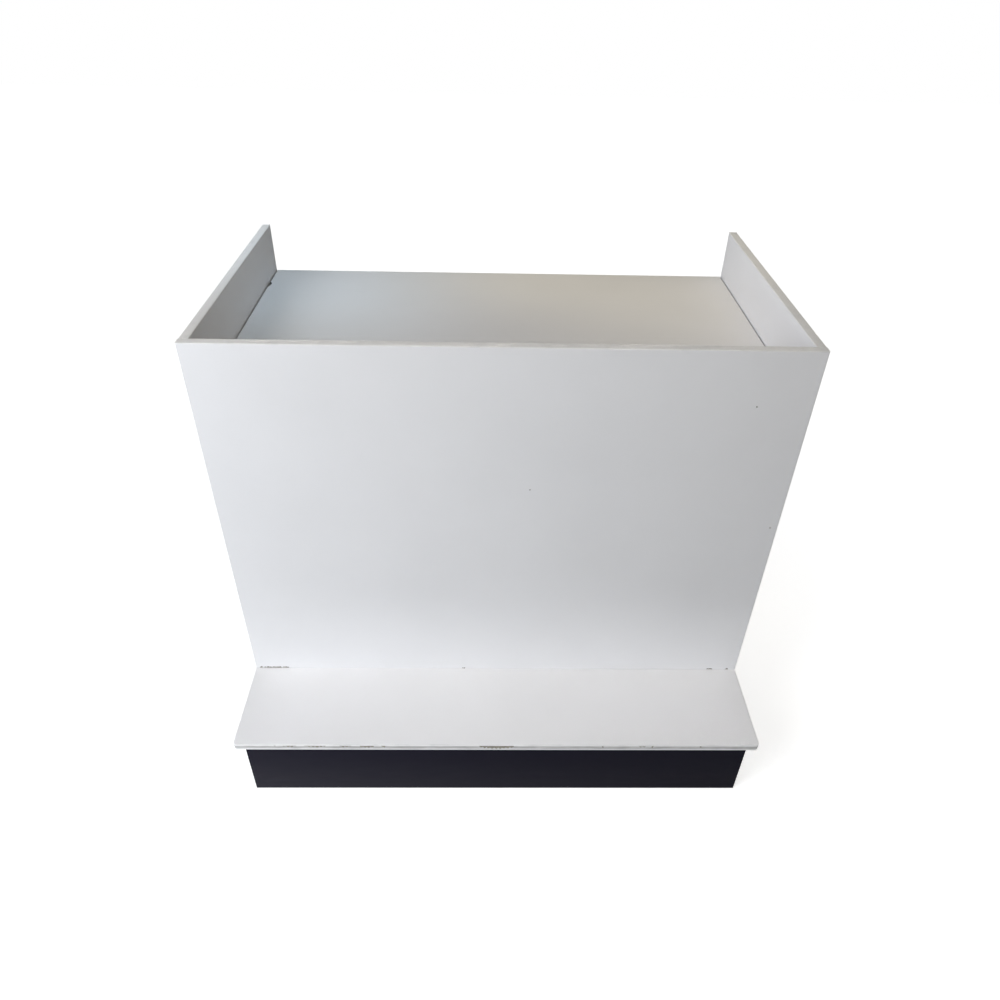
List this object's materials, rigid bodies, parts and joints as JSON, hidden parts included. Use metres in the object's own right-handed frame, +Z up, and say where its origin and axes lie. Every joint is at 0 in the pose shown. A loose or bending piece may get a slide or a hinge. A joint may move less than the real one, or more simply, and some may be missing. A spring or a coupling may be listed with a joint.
{
  "type": "service counter",
  "caption": "White laminated service counter: panels in a U round a recessed worktop, open storage behind, low front ledge, black recessed plinth on screw levelers.",
  "frame": {"origin": "on the floor under the middle of the counter's outline", "axes": "+X to the right seen from the front, +Y from the front ledge to the open rear, +Z up"},
  "size_m": [1.22, 0.915, 1.095],
  "materials": {
    "white_laminate": "white melamine laminate on chipboard, fine matt texture",
    "white_edging": "white plastic edge band, satin",
    "black_laminate": "black laminate on chipboard, satin",
    "softwood": "planed pine, bare",
    "beech": "fluted beech dowel, bare",
    "zinc_plated_steel": "bright zinc plate",
    "cast_zinc": "die-cast zinc, dull",
    "white_plastic": "moulded, satin",
    "black_plastic": "moulded, fine matt"
  },
  "bodies": {
    "carcass": {"front_panel": "white_laminate", "left_side_panel": "white_laminate", "right_side_panel": "white_laminate", "worktop": "white_laminate", "base_deck": "white_laminate", "front_panel_edge_bands": "white_edging", "left_side_edge_bands": "white_edging", "right_side_edge_bands": "white_edging", "worktop_edge_band": "white_edging", "deck_edge_bands": "white_edging", "kick_front": "black_laminate", "kick_rear": "black_laminate", "kick_left": "black_laminate", "kick_right": "black_laminate", "plinth_cross_rails": "softwood", "plinth_corner_blocks": "softwood", "left_cleat": "softwood", "right_cleat": "softwood", "front_cleat": "softwood", "carcass_dowels": "beech", "plinth_dowels": "beech", "corner_block_screws": "zinc_plated_steel", "cleat_screws": "zinc_plated_steel", "worktop_screws": "zinc_plated_steel", "bracket_screws": "zinc_plated_steel", "deck_brackets": "zinc_plated_steel", "cam_bolts": "zinc_plated_steel", "leveler_inserts": "zinc_plated_steel", "shelf_pins": "zinc_plated_steel", "cam_housings": "cast_zinc", "cam_caps": "white_plastic"},
    "shelf": {"adjustable_shelf": "white_laminate", "shelf_edge_band": "white_edging"},
    "pad_front_left": {"leveler_pad_front_left": "black_plastic"},
    "stud_front_left": {"leveler_stud_front_left": "zinc_plated_steel"},
    "pad_rear_left": {"leveler_pad_rear_left": "black_plastic"},
    "stud_rear_left": {"leveler_stud_rear_left": "zinc_plated_steel"},
    "pad_front_right": {"leveler_pad_front_right": "black_plastic"},
    "stud_front_right": {"leveler_stud_front_right": "zinc_plated_steel"},
    "pad_rear_right": {"leveler_pad_rear_right": "black_plastic"},
    "stud_rear_right": {"leveler_stud_rear_right": "zinc_plated_steel"}
  },
  "joints": [
    {"name": "shelf_slide", "type": "slide", "parent": "carcass", "child": "shelf", "axis": [0, 1, 0], "range_m": [0, 0.07]},
    {"name": "pad_slide_front_left", "type": "slide", "parent": "carcass", "child": "pad_front_left", "axis": [0, 0, -1], "range_m": [0, 0.015]},
    {"name": "stud_turn_front_left", "type": "hinge", "parent": "pad_front_left", "child": "stud_front_left", "pos_m": [-0.5515, -0.399, 0], "axis": [0, 0, -1], "range_deg": [0, 4325]},
    {"name": "pad_slide_rear_left", "type": "slide", "parent": "carcass", "child": "pad_rear_left", "axis": [0, 0, -1], "range_m": [0, 0.015]},
    {"name": "stud_turn_rear_left", "type": "hinge", "parent": "pad_rear_left", "child": "stud_rear_left", "pos_m": [-0.5515, 0.399, 0], "axis": [0, 0, -1], "range_deg": [0, 4325]},
    {"name": "pad_slide_front_right", "type": "slide", "parent": "carcass", "child": "pad_front_right", "axis": [0, 0, -1], "range_m": [0, 0.015]},
    {"name": "stud_turn_front_right", "type": "hinge", "parent": "pad_front_right", "child": "stud_front_right", "pos_m": [0.5515, -0.399, 0], "axis": [0, 0, -1], "range_deg": [0, 4325]},
    {"name": "pad_slide_rear_right", "type": "slide", "parent": "carcass", "child": "pad_rear_right", "axis": [0, 0, -1], "range_m": [0, 0.015]},
    {"name": "stud_turn_rear_right", "type": "hinge", "parent": "pad_rear_right", "child": "stud_rear_right", "pos_m": [0.5515, 0.399, 0], "axis": [0, 0, -1], "range_deg": [0, 4325]}
  ],
  "couplings": [
    {"joint": "stud_turn_front_left", "follows": "pad_slide_front_left", "rad_per_m": 5026.5},
    {"joint": "stud_turn_rear_left", "follows": "pad_slide_rear_left", "rad_per_m": 5026.5},
    {"joint": "stud_turn_front_right", "follows": "pad_slide_front_right", "rad_per_m": 5026.5},
    {"joint": "stud_turn_rear_right", "follows": "pad_slide_rear_right", "rad_per_m": 5026.5}
  ]
}
